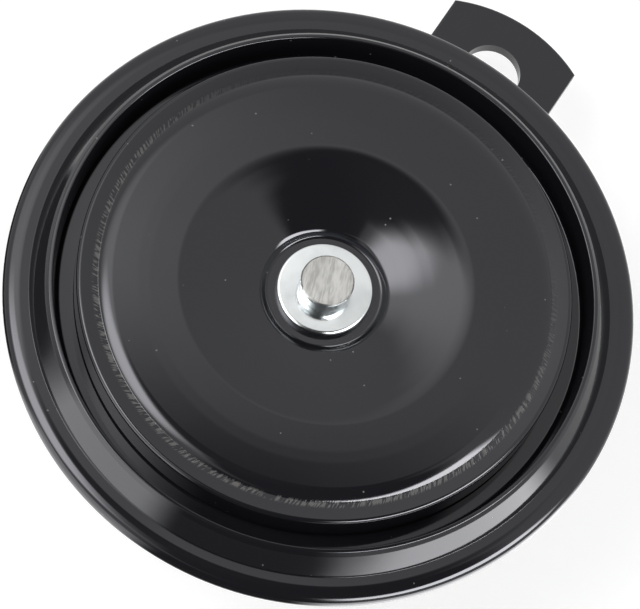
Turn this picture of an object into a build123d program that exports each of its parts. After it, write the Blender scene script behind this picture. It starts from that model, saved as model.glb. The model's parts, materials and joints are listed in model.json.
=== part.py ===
from build123d import *
from math import radians, tan
import os

os.makedirs("parts", exist_ok=True)

# Disc horn: an armature and tone disc on a steel diaphragm, driven by a coil and a contact breaker.
# Millimetres. The origin is the centre of the bracket's bolt hole, at half the strip's thickness.
# The horn's axis is parallel to Z and passes through (0, -hole_reach). +Z points out of the tone disc.

# ---- clearances and fits ----
running_gap = 0.05          # radial, a shaft turning in its own bore
slip_gap = 0.15             # radial, pieces that slide together at assembly
insulating_gap = 0.6        # radial, bare metal passing through another conductor
touch_gap = 0.05            # between pieces that only touch while the horn sounds

# ---- sheet and strip thicknesses ----
housing_sheet = 1.0
ring_sheet = 0.8
tone_sheet = 1.0
gasket_sheet = 0.3
diaphragm_sheet = 0.4
strip_thickness = 2.5
blade_thickness = 0.8
insulator_sheet = 1.0

# ---- mounting bracket ----
hole_reach = 61.3           # horn axis to bolt hole
strip_width = 25.0
strip_joggle = 4.0          # the seat on the horn lies this much behind the outer end
joggle_start = 31.0         # from the horn axis
joggle_run = 6.0
bolt_hole_radius = 5.25
end_margin = 11.4           # bolt hole centre to the tip of the outer end
end_arc_radius = 27.5
strip_bend_radius = 3.0     # on the inside of each bend
strip_edge_radius = 0.4     # rolled by the blanking die, on the front face

# ---- levels along the axis ----
seat_plane = -strip_joggle + strip_thickness / 2       # back of the housing, on the strip
floor_top = seat_plane + housing_sheet
housing_depth = 21.95       # floor to the diaphragm's seat
shoulder_depth = 11.2       # diaphragm's seat down to the breaker's and terminals' shoulder
rim_step = 2.25             # diaphragm's seat up to the flange inside the hem
crest_rise = 4.55           # the ring's flat band up to the crest
crest_fall = 0.5            # crest's inner edge down to its outer shoulder
tone_rise = 5.6             # the same up to the tone disc's outer land
diaphragm_rise = 0.7        # the diaphragm's centre above its rim
disc_step = 0.75            # land up to the disc's flat middle
funnel_drop = 4.3           # flat middle down to the clamped centre
skirt_clearance = 0.9       # tone disc's skirt above the ring's floor

seat_top = floor_top + housing_depth
shoulder_top = seat_top - shoulder_depth
flange_top = seat_top + rim_step
rim_top = flange_top + ring_sheet
rear_gasket_base = seat_top
diaphragm_base = rear_gasket_base + gasket_sheet
diaphragm_top = diaphragm_base + diaphragm_sheet
ring_floor_base = diaphragm_top + gasket_sheet
ring_floor_top = ring_floor_base + ring_sheet
crest_top = rim_top + crest_rise
land_top = rim_top + tone_rise
flat_top = land_top + disc_step
hub_top = flat_top - funnel_drop
hub_base = hub_top - tone_sheet
skirt_base = ring_floor_top + skirt_clearance
centre_top = diaphragm_top + diaphragm_rise
centre_base = centre_top - diaphragm_sheet

# ---- radii about the horn's axis, each width measured inwards from the one before ----
rim_radius = 52.5
hem_length = 2.5            # the hem's lower fold, inwards from the rim
band_width = 4.6            # rim to the top of the slope
slope_width = 1.9           # band to the outer shoulder of the crest
slope_fillet = 1.2
crest_width = 1.2           # outer shoulder to the edge of the inner wall
crest_fillet = 1.8
crest_edge_fillet = 0.35
crest_lean = 1.15           # crest's edge to the foot of its inner wall
ring_floor_width = 3.65
ring_floor_fillet = 0.6
groove_gap = 2.75           # foot of the crest to the tone disc's skirt
tone_edge_fillet = 1.0
land_width = 2.6            # skirt to the foot of the step
land_fillet = 0.5
step_run = 1.3              # foot of the step to the edge of the flat middle
step_round = 2.4
hub_foot_radius = 11.3
funnel_angle = 27.0
funnel_fillet = 26.0
hub_fillet = 3.0
seat_width = 9.1            # band's inner edge to the housing's wall
seat_fillet = 0.4
wall_draft = 0.6
shoulder_width = 11.5       # wall to the mouth of the bowl
bowl_draft = 1.9
housing_fillet = 2.6
shoulder_fillet = 1.4
step_fillet = 1.8
flange_fillet = 1.2
rim_joggle_run = 0.8
diaphragm_flat_radius = 10.5
diaphragm_fillet = 4.0
corrugation_inset = 4.8     # housing's wall to the middle of the corrugation
corrugation_width = 5.0
corrugation_depth = 0.6
corrugation_fillet = 0.8

band_inner_radius = rim_radius - band_width
crest_outer_radius = band_inner_radius - slope_width
crest_inner_radius = crest_outer_radius - crest_width
groove_radius = crest_inner_radius - crest_lean
floor_inner_radius = groove_radius - ring_floor_width
tone_radius = groove_radius - groove_gap
step_radius = tone_radius - land_width
flat_radius = step_radius - step_run
housing_wall_radius = band_inner_radius - seat_width
bowl_radius = housing_wall_radius - shoulder_width - bowl_draft
corrugation_radius = housing_wall_radius - corrugation_inset

# ---- armature, stud and pole core ----
stud_radius = 4.0           # M8, at both ends of the horn
stud_head_radius = 4.45     # upset over the front washer
stud_proud = 3.7            # above the front washer
washer_radius = 8.0
washer_thickness = 1.6
spacer_radius = 9.0
armature_radius = 14.0
armature_plate_radius = 24.0
armature_plate = 1.2
armature_boss_height = 1.5
armature_height = 4.8       # below the plate
air_gap = 0.9               # armature to pole face, horn at rest
pole_radius = 9.0
stud_tail = 1.8             # past the rear nut
chamfer_size = 0.5

# ---- coil ----
bobbin_wall = 1.0
bobbin_flange_radius = 19.0
winding_radius = 18.0
bobbin_clearance = 1.9      # bobbin top to the armature

# ---- rear fastening ----
nut_across_flats = 13.0
nut_height = 6.5
spring_washer_radius = 7.0
spring_washer_thickness = 2.0
spring_washer_slot = 1.2
spring_washer_lean = 15.0   # degrees, the slot from the radius

# ---- breaker, on the shoulder at the +X side ----
stack_margin = 2.9          # housing's wall to the clamped stack
stack_length = 5.3          # along the radius
stack_half_width = 4.6
leaf_thickness = 0.25
leaf_width = 5.0
arm_thickness = 0.6
arm_width = 5.0
arm_overhang = 1.7          # past the middle of the striker
hinge_gap = 0.6             # stack to the arm's root, where the leaf bends
leaf_lap = 2.4              # leaf under the arm
contact_radius = 1.5
contact_height = 0.8
contact_margin = 0.1        # contact to the fixed blade's tip
striker_inset = 2.1         # inside the edge of the armature's plate
striker_radius = 1.4
striker_height = 3.6
striker_dome = 1.1
top_insulator = 0.8
rivet_radius = 1.25
rivet_head_radius = 2.2
rivet_head_height = 0.9
rivet_spacing = 5.0
tag_half_length = 8.6       # solder tag, across the stack
tag_width = 3.0
tag_margin = 1.5            # solder joint to the tag's end

# ---- adjusting screw ----
adjuster_inset = 1.55       # inside the middle of the stack
adjuster_margin = 0.4       # stack's side to the bush
adjuster_radius = 2.5
adjuster_head_radius = 3.9
adjuster_head_height = 2.8
adjuster_slot = 1.0
adjuster_tip_radius = 2.0
adjuster_tip_height = 1.8
bush_radius = 3.9
bush_neck_radius = 3.2
bush_flange = 2.4
bush_stake = 1.4
ear_half_width = 2.6
ear_reach = 14.0

# ---- terminals, on the shoulder at the -X side ----
terminal_margin = 3.1       # housing's wall to the insulating plates
terminal_spacing = 10.6
terminal_plate_thickness = 2.0
terminal_plate_length = 18.5
terminal_plate_width = 7.4
terminal_plate_corner = 1.5
blade_width = 6.3
blade_length = 12.5
blade_foot = 6.6
blade_bend_radius = 0.6
blade_hole_radius = 0.9
blade_tip_chamfer = 1.2
terminal_rivet_radius = 1.5
terminal_rivet_head = 2.2
terminal_rivet_head_height = 0.8
lead_radius = 0.45
lead_height = 3.2           # above the shoulder
lead_depth = 3.8            # where they leave the coil, below its top flange
lead_exit_angle = -50       # degrees, of the coil's finish
lead_wall_gap = 4.8         # housing's wall to the lead round the bowl
lead_bend = 1.6             # from the fixed blade's ear to the bowl's wall
lead_drop_bend = 0.7        # down to a tag or a rivet

horn_axis = Axis((0, -hole_reach, 0), (0, 0, 1))
# local X is the radius and local Y the height
section = Plane(origin=(0, -hole_reach, 0), x_dir=(1, 0, 0), z_dir=(0, -1, 0))
# local X and Y about the horn's axis, at height zero
level = Plane(origin=(0, -hole_reach, 0))

stack_outer = housing_wall_radius - stack_margin
stack_inner = stack_outer - stack_length
rivet_x = (stack_inner + stack_outer) / 2
arm_root = stack_inner - hinge_gap
striker_position = armature_plate_radius - striker_inset
arm_tip = striker_position - arm_overhang
contact_position = (striker_position + striker_radius + arm_root) / 2
fixed_blade_tip = contact_position - contact_radius - contact_margin
adjuster_x = rivet_x - adjuster_inset
adjuster_y = stack_half_width + adjuster_margin + bush_radius
terminal_x = housing_wall_radius - terminal_margin - terminal_plate_width / 2
on_base = (Align.CENTER, Align.CENTER, Align.MIN)
under_base = (Align.CENTER, Align.CENTER, Align.MAX)

# ---- housing: stepped bowl, flange and the seat of the diaphragm ----
hem_radius = (2 * ring_sheet + housing_sheet) / 2
hem_fillet = 0.99 * hem_radius      # all but a full round
flange_radius = rim_radius - hem_radius
seat_outer_radius = band_inner_radius - slip_gap
with BuildPart() as housing:
    with BuildSketch(section):
        with BuildLine():
            inside = FilletPolyline(
                (stud_radius + slip_gap, floor_top),
                (bowl_radius, floor_top),
                (bowl_radius + bowl_draft, shoulder_top),
                (housing_wall_radius, shoulder_top),
                (housing_wall_radius + wall_draft, seat_top),
                (seat_outer_radius, seat_top),
                (seat_outer_radius + rim_joggle_run, flange_top),
                (flange_radius, flange_top),
                radius=[
                    housing_fillet,
                    shoulder_fillet,
                    step_fillet,
                    shoulder_fillet,
                    seat_fillet,
                    flange_fillet,
                ],
            )
            offset(inside, amount=housing_sheet, side=Side.RIGHT)
        make_face()
    revolve(axis=horn_axis)
    with Locations(level.offset(shoulder_top)):
        with Locations((adjuster_x, adjuster_y)):
            Hole(bush_neck_radius, depth=housing_sheet)
        with Locations((-terminal_x, -terminal_spacing / 2), (-terminal_x, terminal_spacing / 2)):
            Hole(terminal_rivet_radius + insulating_gap, depth=housing_sheet)
        with Locations((rivet_x, -rivet_spacing / 2), (rivet_x, rivet_spacing / 2)):
            Hole(rivet_radius, depth=housing_sheet)
housing.part.label = "housing"
export_step(housing.part, "parts/housing.step")

# ---- front ring: hemmed over the flange, banded, crested, its floor clamping the diaphragm ----
with BuildPart() as front_ring:
    with BuildSketch(section):
        with BuildLine():
            outside = FilletPolyline(
                (floor_inner_radius, ring_floor_top),
                (groove_radius, ring_floor_top),
                (crest_inner_radius, crest_top),
                (crest_outer_radius, crest_top - crest_fall),
                (band_inner_radius, rim_top),
                (rim_radius, rim_top),
                (rim_radius, rim_top - 2 * hem_radius),
                (rim_radius - hem_length, rim_top - 2 * hem_radius),
                radius=[
                    ring_floor_fillet,
                    crest_edge_fillet,
                    crest_fillet,
                    slope_fillet,
                    hem_fillet,
                    hem_fillet,
                ],
            )
            offset(outside, amount=ring_sheet, side=Side.LEFT)
        make_face()
    revolve(axis=horn_axis)
front_ring.part.label = "front_ring"
export_step(front_ring.part, "parts/front_ring.step")

# ---- paper gaskets above and below the diaphragm ----
with BuildPart() as rear_gasket:
    with BuildSketch(level.offset(rear_gasket_base)):
        Circle(seat_outer_radius - rim_joggle_run)
        Circle(housing_wall_radius + wall_draft + housing_sheet, mode=Mode.SUBTRACT)
    extrude(amount=gasket_sheet)
rear_gasket.part.label = "rear_gasket"
export_step(rear_gasket.part, "parts/rear_gasket.step")

with BuildPart() as front_gasket:
    with BuildSketch(level.offset(diaphragm_top)):
        Circle(groove_radius)
        Circle(floor_inner_radius, mode=Mode.SUBTRACT)
    extrude(amount=gasket_sheet)
front_gasket.part.label = "front_gasket"
export_step(front_gasket.part, "parts/front_gasket.step")

# ---- diaphragm: spring steel, one corrugation near the clamp, rising to the centre ----
corrugation_in = corrugation_radius - corrugation_width / 2
corrugation_out = corrugation_radius + corrugation_width / 2
corrugation_wall = corrugation_width / 4
with BuildPart() as diaphragm:
    with BuildSketch(section):
        with BuildLine():
            face_line = FilletPolyline(
                (stud_radius + running_gap, centre_top),
                (diaphragm_flat_radius, centre_top),
                (corrugation_in, diaphragm_top),
                (corrugation_in + corrugation_wall, diaphragm_top - corrugation_depth),
                (corrugation_out - corrugation_wall, diaphragm_top - corrugation_depth),
                (corrugation_out, diaphragm_top),
                (seat_outer_radius - rim_joggle_run, diaphragm_top),
                radius=[diaphragm_fillet] + 4 * [corrugation_fillet],
            )
            offset(face_line, amount=diaphragm_sheet, side=Side.RIGHT)
        make_face()
    revolve(axis=horn_axis)
diaphragm.part.label = "diaphragm"
export_step(diaphragm.part, "parts/diaphragm.step")

# ---- tone disc: skirt, land, step up to the flat middle, and a funnel down to the clamped hub ----
funnel_mouth = hub_foot_radius + funnel_drop / tan(radians(funnel_angle))
with BuildPart() as tone_disc:
    with BuildSketch(section):
        with BuildLine():
            face_line = FilletPolyline(
                (stud_radius + running_gap, hub_top),
                (hub_foot_radius, hub_top),
                (funnel_mouth, flat_top),
                (flat_radius, flat_top),
                (step_radius, land_top),
                (tone_radius, land_top),
                (tone_radius, skirt_base),
                radius=[hub_fillet, funnel_fillet, step_round, land_fillet, tone_edge_fillet],
            )
            offset(face_line, amount=tone_sheet, side=Side.RIGHT, kind=Kind.INTERSECTION)
        make_face()
    revolve(axis=horn_axis)
tone_disc.part.label = "tone_disc"
export_step(tone_disc.part, "parts/tone_disc.step")

# ---- armature: boss, plate and puck, with the stud up through the discs and upset over the washer ----
spacer_height = hub_base - centre_top
washer_top = hub_top + washer_thickness
plate_top = centre_base - armature_boss_height
plate_base = plate_top - armature_plate
armature_base = plate_base - armature_height
with BuildPart() as armature:
    with BuildSketch(level.offset(armature_base)):
        Circle(armature_radius)
    extrude(amount=armature_height)
    chamfer(armature.edges().group_by(Axis.Z)[0], chamfer_size)
    with BuildSketch(level.offset(plate_base)):
        Circle(armature_plate_radius)
    extrude(amount=armature_plate)
    with BuildSketch(level.offset(plate_top)):
        Circle(spacer_radius)
    extrude(amount=armature_boss_height)
    with BuildSketch(level.offset(centre_base)):
        Circle(stud_radius)
    extrude(amount=washer_top - centre_base)
    with BuildSketch(level.offset(washer_top)):
        Circle(stud_head_radius)
    extrude(amount=stud_proud)
    chamfer(armature.edges().group_by(Axis.Z)[-1], chamfer_size / 2)
armature.part.label = "armature"
export_step(armature.part, "parts/armature.step")

with BuildPart() as spacer_collar:
    with BuildSketch(level.offset(centre_top)):
        Circle(spacer_radius)
        Circle(stud_radius + running_gap, mode=Mode.SUBTRACT)
    extrude(amount=spacer_height)
spacer_collar.part.label = "spacer_collar"
export_step(spacer_collar.part, "parts/spacer_collar.step")

with BuildPart() as front_washer:
    with BuildSketch(level.offset(hub_top)):
        Circle(washer_radius)
        Circle(stud_radius + running_gap, mode=Mode.SUBTRACT)
    extrude(amount=washer_thickness)
    fillet(front_washer.edges().group_by(Axis.Z)[-1].sort_by(SortBy.RADIUS)[-1], chamfer_size)
front_washer.part.label = "front_washer"
export_step(front_washer.part, "parts/front_washer.step")

# ---- pole core, with the stud that carries the bracket ----
pole_face = armature_base - air_gap
washer_stack = strip_thickness + spring_washer_thickness
stud_end = seat_plane - washer_stack - nut_height - stud_tail
with BuildPart() as pole_core:
    with BuildSketch(level.offset(floor_top)):
        Circle(pole_radius)
    extrude(amount=pole_face - floor_top)
    chamfer(pole_core.edges().group_by(Axis.Z)[-1], chamfer_size)
    with BuildSketch(level.offset(stud_end)):
        Circle(stud_radius)
    extrude(amount=floor_top - stud_end)
    chamfer(pole_core.edges().group_by(Axis.Z)[0], 2 * chamfer_size)
pole_core.part.label = "pole_core"
export_step(pole_core.part, "parts/pole_core.step")

# ---- coil ----
bobbin_top = armature_base - bobbin_clearance
bobbin_bore = pole_radius + slip_gap
with BuildPart() as coil_bobbin:
    with BuildSketch(section):
        with BuildLine():
            Polyline(
                (bobbin_bore, floor_top),
                (bobbin_flange_radius, floor_top),
                (bobbin_flange_radius, floor_top + bobbin_wall),
                (bobbin_bore + bobbin_wall, floor_top + bobbin_wall),
                (bobbin_bore + bobbin_wall, bobbin_top - bobbin_wall),
                (bobbin_flange_radius, bobbin_top - bobbin_wall),
                (bobbin_flange_radius, bobbin_top),
                (bobbin_bore, bobbin_top),
                close=True,
            )
        make_face()
    revolve(axis=horn_axis)
coil_bobbin.part.label = "coil_bobbin"
export_step(coil_bobbin.part, "parts/coil_bobbin.step")

with BuildPart() as coil_winding:
    with BuildSketch(level.offset(floor_top + bobbin_wall)):
        Circle(winding_radius)
        Circle(bobbin_bore + bobbin_wall, mode=Mode.SUBTRACT)
    extrude(amount=bobbin_top - floor_top - 2 * bobbin_wall)
coil_winding.part.label = "coil_winding"
export_step(coil_winding.part, "parts/coil_winding.step")

# ---- mounting bracket: joggled strip, seat hole at the horn's axis and bolt hole at the origin ----
tip = end_margin
corner = tip - end_arc_radius + (end_arc_radius**2 - (strip_width / 2) ** 2) ** 0.5
strip_side = Plane(origin=(0, 0, 0), x_dir=(0, 1, 0), z_dir=(1, 0, 0))
with BuildPart() as mounting_bracket:
    with BuildSketch(strip_side):
        with BuildLine():
            back = FilletPolyline(
                (-hole_reach - strip_width / 2, -strip_joggle - strip_thickness / 2),
                (-hole_reach + joggle_start, -strip_joggle - strip_thickness / 2),
                (-hole_reach + joggle_start + joggle_run, -strip_thickness / 2),
                (tip, -strip_thickness / 2),
                radius=[strip_bend_radius + strip_thickness, strip_bend_radius],
            )
            offset(back, amount=strip_thickness, side=Side.LEFT)
        make_face()
    extrude(amount=strip_width / 2, both=True)
    with BuildSketch(Plane.XY.offset(-strip_width)):
        with BuildLine():
            Line((strip_width / 2, -hole_reach), (strip_width / 2, corner))
            ThreePointArc((strip_width / 2, corner), (0, tip), (-strip_width / 2, corner))
            Line((-strip_width / 2, corner), (-strip_width / 2, -hole_reach))
            CenterArc((0, -hole_reach), strip_width / 2, 180, 180)
        make_face()
        with Locations((0, 0)):
            Circle(bolt_hole_radius, mode=Mode.SUBTRACT)
        with Locations((0, -hole_reach)):
            Circle(stud_radius + slip_gap, mode=Mode.SUBTRACT)
    extrude(amount=2 * strip_width, mode=Mode.INTERSECT)
    front_faces = mounting_bracket.faces().filter_by(lambda face: face.normal_at().Z > 0.1)
    side_faces = mounting_bracket.faces().filter_by(lambda face: abs(face.normal_at().Z) < 0.01)
    outline_faces = side_faces.filter_by(lambda face: face.is_planar or face.radius > strip_width / 3)
    rolled_edges = [edge for edge in front_faces.edges() if edge in outline_faces.edges()]
    fillet(rolled_edges, strip_edge_radius)
mounting_bracket.part.label = "mounting_bracket"
export_step(mounting_bracket.part, "parts/mounting_bracket.step")

# ---- spring washer and nut under the bracket ----
strip_back = seat_plane - strip_thickness
nut_top = strip_back - spring_washer_thickness
slot_reach = 2 * (spring_washer_radius - stud_radius)
with BuildPart() as spring_washer:
    with BuildSketch(level.offset(nut_top)):
        Circle(spring_washer_radius)
        Circle(stud_radius + slip_gap, mode=Mode.SUBTRACT)
        with Locations((spring_washer_radius, 0)):
            Rectangle(slot_reach, spring_washer_slot, rotation=spring_washer_lean, mode=Mode.SUBTRACT)
    extrude(amount=spring_washer_thickness)
spring_washer.part.label = "spring_washer"
export_step(spring_washer.part, "parts/spring_washer.step")

nut_corner_radius = nut_across_flats / 3**0.5
with BuildPart() as rear_nut:
    with BuildSketch(level.offset(nut_top)):
        RegularPolygon(nut_across_flats / 2, 6, major_radius=False)
    extrude(amount=-nut_height)
    with BuildSketch(section):
        with BuildLine():
            Polyline(
                (stud_radius + running_gap, nut_top),
                (nut_across_flats / 2, nut_top),
                (nut_corner_radius, nut_top - chamfer_size),
                (nut_corner_radius, nut_top - nut_height + chamfer_size),
                (nut_across_flats / 2, nut_top - nut_height),
                (stud_radius + running_gap, nut_top - nut_height),
                close=True,
            )
        make_face()
    revolve(axis=horn_axis, mode=Mode.INTERSECT)
rear_nut.part.label = "rear_nut"
export_step(rear_nut.part, "parts/rear_nut.step")

# ---- breaker: a clamped stack, its leaf and fixed blade, and the arm that the armature pushes ----
striker_top = plate_base - touch_gap
arm_top = striker_top - striker_height
arm_base = arm_top - arm_thickness
leaf_base = arm_base - leaf_thickness
fixed_blade_base = arm_top + 2 * contact_height
fixed_blade_top = fixed_blade_base + blade_thickness
stack_top = fixed_blade_top + top_insulator
rivet_places = [(rivet_x, -rivet_spacing / 2), (rivet_x, rivet_spacing / 2)]

with BuildPart() as stack_base:
    with BuildSketch(level.offset(shoulder_top)):
        with Locations((rivet_x, 0)):
            Rectangle(stack_length, 2 * stack_half_width)
        with Locations(*rivet_places):
            Circle(rivet_radius, mode=Mode.SUBTRACT)
    extrude(amount=leaf_base - shoulder_top)
stack_base.part.label = "stack_base"
export_step(stack_base.part, "parts/stack_base.step")

with BuildPart() as contact_leaf:
    with BuildSketch(level.offset(leaf_base)):
        with Locations((rivet_x, 0)):
            Rectangle(stack_length, 2 * stack_half_width)
        with Locations((arm_root - leaf_lap, 0)):
            Rectangle(rivet_x - arm_root + leaf_lap, leaf_width, align=(Align.MIN, Align.CENTER))
        with Locations((rivet_x, 0)):
            Rectangle(tag_width, tag_half_length, align=(Align.CENTER, Align.MAX))
        with Locations(*rivet_places):
            Circle(rivet_radius + insulating_gap / 2, mode=Mode.SUBTRACT)
    extrude(amount=leaf_thickness)
contact_leaf.part.label = "contact_leaf"
export_step(contact_leaf.part, "parts/contact_leaf.step")

with BuildPart() as middle_insulator:
    with BuildSketch(level.offset(arm_base)):
        with Locations((rivet_x, 0)):
            Rectangle(stack_length, 2 * stack_half_width)
        with Locations(*rivet_places):
            Circle(rivet_radius, mode=Mode.SUBTRACT)
    extrude(amount=fixed_blade_base - arm_base)
middle_insulator.part.label = "middle_insulator"
export_step(middle_insulator.part, "parts/middle_insulator.step")

with BuildPart() as fixed_contact_blade:
    with BuildSketch(level.offset(fixed_blade_base)):
        with Locations((rivet_x, 0)):
            Rectangle(stack_length, 2 * stack_half_width)
        with Locations((fixed_blade_tip, 0)):
            Rectangle(rivet_x - fixed_blade_tip, arm_width, align=(Align.MIN, Align.CENTER))
        with Locations((adjuster_x, 0)):
            Rectangle(2 * ear_half_width, ear_reach, align=(Align.CENTER, Align.MIN))
        with Locations(*rivet_places):
            Circle(rivet_radius + insulating_gap / 2, mode=Mode.SUBTRACT)
    extrude(amount=blade_thickness)
    with BuildSketch(level.offset(fixed_blade_base)):
        with Locations((contact_position, 0)):
            Circle(contact_radius)
    extrude(amount=-contact_height)
fixed_contact_blade.part.label = "fixed_contact_blade"
export_step(fixed_contact_blade.part, "parts/fixed_contact_blade.step")

with BuildPart() as clamp_insulator:
    with BuildSketch(level.offset(fixed_blade_top)):
        with Locations((rivet_x, 0)):
            Rectangle(stack_length, 2 * stack_half_width)
        with Locations(*rivet_places):
            Circle(rivet_radius, mode=Mode.SUBTRACT)
    extrude(amount=top_insulator)
clamp_insulator.part.label = "clamp_insulator"
export_step(clamp_insulator.part, "parts/clamp_insulator.step")

rivet_foot = shoulder_top - housing_sheet
with BuildPart() as stack_rivet_left:
    with Locations(level.offset(rivet_foot)):
        with Locations(rivet_places[0]):
            Cylinder(rivet_radius, stack_top - rivet_foot, align=on_base)
            Cylinder(rivet_head_radius, rivet_head_height, align=under_base)
    with Locations(level.offset(stack_top)):
        with Locations(rivet_places[0]):
            Cylinder(rivet_head_radius, rivet_head_height, align=on_base)
    fillet(stack_rivet_left.edges().filter_by(GeomType.CIRCLE).group_by(Axis.Z)[0], rivet_head_height / 2)
stack_rivet_left.part.label = "stack_rivet_left"
export_step(stack_rivet_left.part, "parts/stack_rivet_left.step")

with BuildPart() as stack_rivet_right:
    mirror(stack_rivet_left.part, about=section)
stack_rivet_right.part.label = "stack_rivet_right"
export_step(stack_rivet_right.part, "parts/stack_rivet_right.step")

# the arm swings about the leaf's free root, just inside the stack
with BuildPart() as breaker_arm:
    with BuildSketch(level.offset(arm_base)):
        with Locations((arm_tip, 0)):
            Rectangle(arm_root - arm_tip, arm_width, align=(Align.MIN, Align.CENTER))
    extrude(amount=arm_thickness)
    fillet(breaker_arm.edges().filter_by(Axis.Z).group_by(Axis.X)[0], arm_width / 3)
breaker_arm.part.label = "breaker_arm"
export_step(breaker_arm.part, "parts/breaker_arm.step")

with BuildPart() as moving_contact:
    with BuildSketch(level.offset(arm_top)):
        with Locations((contact_position, 0)):
            Circle(contact_radius)
    extrude(amount=contact_height)
moving_contact.part.label = "moving_contact"
export_step(moving_contact.part, "parts/moving_contact.step")

with BuildPart() as striker_pad:
    with BuildSketch(level.offset(arm_top)):
        with Locations((striker_position, 0)):
            Circle(striker_radius)
    extrude(amount=striker_top - arm_top)
    fillet(striker_pad.edges().group_by(Axis.Z)[-1], striker_dome)
striker_pad.part.label = "striker_pad"
export_step(striker_pad.part, "parts/striker_pad.step")

# ---- adjusting screw in its staked bush, its insulating nose under the fixed blade's ear ----
bush_base = rivet_foot - bush_flange
with BuildPart() as adjuster_bush:
    with Locations(level.offset(bush_base)):
        with Locations((adjuster_x, adjuster_y)):
            Cylinder(bush_radius, bush_flange, align=on_base)
            Cylinder(bush_neck_radius, bush_flange + housing_sheet, align=on_base)
    with Locations(level.offset(shoulder_top)):
        with Locations((adjuster_x, adjuster_y)):
            Cylinder(bush_radius, bush_stake, align=on_base)
    chamfer(adjuster_bush.edges().group_by(Axis.Z)[0], chamfer_size)
    with Locations(level.offset(shoulder_top + bush_stake)):
        with Locations((adjuster_x, adjuster_y)):
            Hole(adjuster_radius + running_gap)
adjuster_bush.part.label = "adjuster_bush"
export_step(adjuster_bush.part, "parts/adjuster_bush.step")

adjuster_head_top = bush_base - running_gap
adjuster_tip_base = fixed_blade_base - touch_gap - adjuster_tip_height
with BuildPart() as adjusting_screw:
    with Locations(level.offset(adjuster_head_top)):
        with Locations((adjuster_x, adjuster_y)):
            Cylinder(adjuster_head_radius, adjuster_head_height, align=under_base)
            Cylinder(adjuster_radius, adjuster_tip_base - adjuster_head_top, align=on_base)
    fillet(adjusting_screw.edges().filter_by(GeomType.CIRCLE).group_by(Axis.Z)[0], chamfer_size)
    with BuildSketch(level.offset(adjuster_head_top - adjuster_head_height)):
        with Locations((adjuster_x, adjuster_y)):
            Rectangle(adjuster_slot, 3 * adjuster_head_radius)
    extrude(amount=adjuster_head_height / 2, mode=Mode.SUBTRACT)
adjusting_screw.part.label = "adjusting_screw"
export_step(adjusting_screw.part, "parts/adjusting_screw.step")

with BuildPart() as adjuster_tip:
    with Locations(level.offset(adjuster_tip_base)):
        with Locations((adjuster_x, adjuster_y)):
            Cylinder(adjuster_tip_radius, adjuster_tip_height, align=on_base)
adjuster_tip.part.label = "adjuster_tip"
export_step(adjuster_tip.part, "parts/adjuster_tip.step")

# ---- terminals: two riveted blades on insulating plates, one plate each side of the shoulder ----
left_y = -terminal_spacing / 2
right_y = terminal_spacing / 2
terminal_places = [(-terminal_x, left_y), (-terminal_x, right_y)]
with BuildPart() as terminal_plate:
    with BuildSketch(level.offset(rivet_foot)):
        with Locations((-terminal_x, 0)):
            RectangleRounded(terminal_plate_width, terminal_plate_length, terminal_plate_corner)
        with Locations(*terminal_places):
            Circle(terminal_rivet_radius, mode=Mode.SUBTRACT)
    extrude(amount=-terminal_plate_thickness)
terminal_plate.part.label = "terminal_plate"
export_step(terminal_plate.part, "parts/terminal_plate.step")

with BuildPart() as terminal_insulator:
    with BuildSketch(level.offset(shoulder_top)):
        with Locations((-terminal_x, 0)):
            RectangleRounded(terminal_plate_width, terminal_plate_length, terminal_plate_corner)
        with Locations(*terminal_places):
            Circle(terminal_rivet_radius, mode=Mode.SUBTRACT)
    extrude(amount=insulator_sheet)
terminal_insulator.part.label = "terminal_insulator"
export_step(terminal_insulator.part, "parts/terminal_insulator.step")

blade_top = rivet_foot - terminal_plate_thickness
blade_base = blade_top - blade_thickness
blade_face = -terminal_x - blade_foot / 2
blade_tip = blade_top - blade_length
with BuildPart() as terminal_blade_left:
    with BuildSketch(section.offset(-left_y)):
        with BuildLine():
            blade_line = FilletPolyline(
                (blade_face + blade_foot, blade_top),
                (blade_face, blade_top),
                (blade_face, blade_tip),
                radius=blade_bend_radius + blade_thickness,
            )
            offset(blade_line, amount=blade_thickness, side=Side.LEFT)
        make_face()
    extrude(amount=blade_width / 2, both=True)
    with Locations(level.offset(blade_top)):
        with Locations(terminal_places[0]):
            Hole(terminal_rivet_radius, depth=blade_thickness)
    blade_hole = (blade_face, left_y - hole_reach, blade_tip + blade_width / 2)
    with Locations(Plane(origin=blade_hole, z_dir=(-1, 0, 0))):
        Hole(blade_hole_radius, depth=blade_thickness)
    chamfer(terminal_blade_left.edges().filter_by(Axis.X).group_by(Axis.Z)[0], blade_tip_chamfer)
terminal_blade_left.part.label = "terminal_blade_left"
export_step(terminal_blade_left.part, "parts/terminal_blade_left.step")

with BuildPart() as terminal_blade_right:
    mirror(terminal_blade_left.part, about=section)
terminal_blade_right.part.label = "terminal_blade_right"
export_step(terminal_blade_right.part, "parts/terminal_blade_right.step")

terminal_head_base = shoulder_top + insulator_sheet
terminal_head_top = terminal_head_base + terminal_rivet_head_height
with BuildPart() as terminal_rivet_left:
    with Locations(level.offset(blade_base)):
        with Locations(terminal_places[0]):
            Cylinder(terminal_rivet_radius, terminal_head_base - blade_base, align=on_base)
            Cylinder(terminal_rivet_head, terminal_rivet_head_height, align=under_base)
    with Locations(level.offset(terminal_head_base)):
        with Locations(terminal_places[0]):
            Cylinder(terminal_rivet_head, terminal_rivet_head_height, align=on_base)
    fillet(terminal_rivet_left.edges().group_by(Axis.Z)[0], terminal_rivet_head_height / 2)
terminal_rivet_left.part.label = "terminal_rivet_left"
export_step(terminal_rivet_left.part, "parts/terminal_rivet_left.step")

with BuildPart() as terminal_rivet_right:
    mirror(terminal_rivet_left.part, about=section)
terminal_rivet_right.part.label = "terminal_rivet_right"
export_step(terminal_rivet_right.part, "parts/terminal_rivet_right.step")

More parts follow.
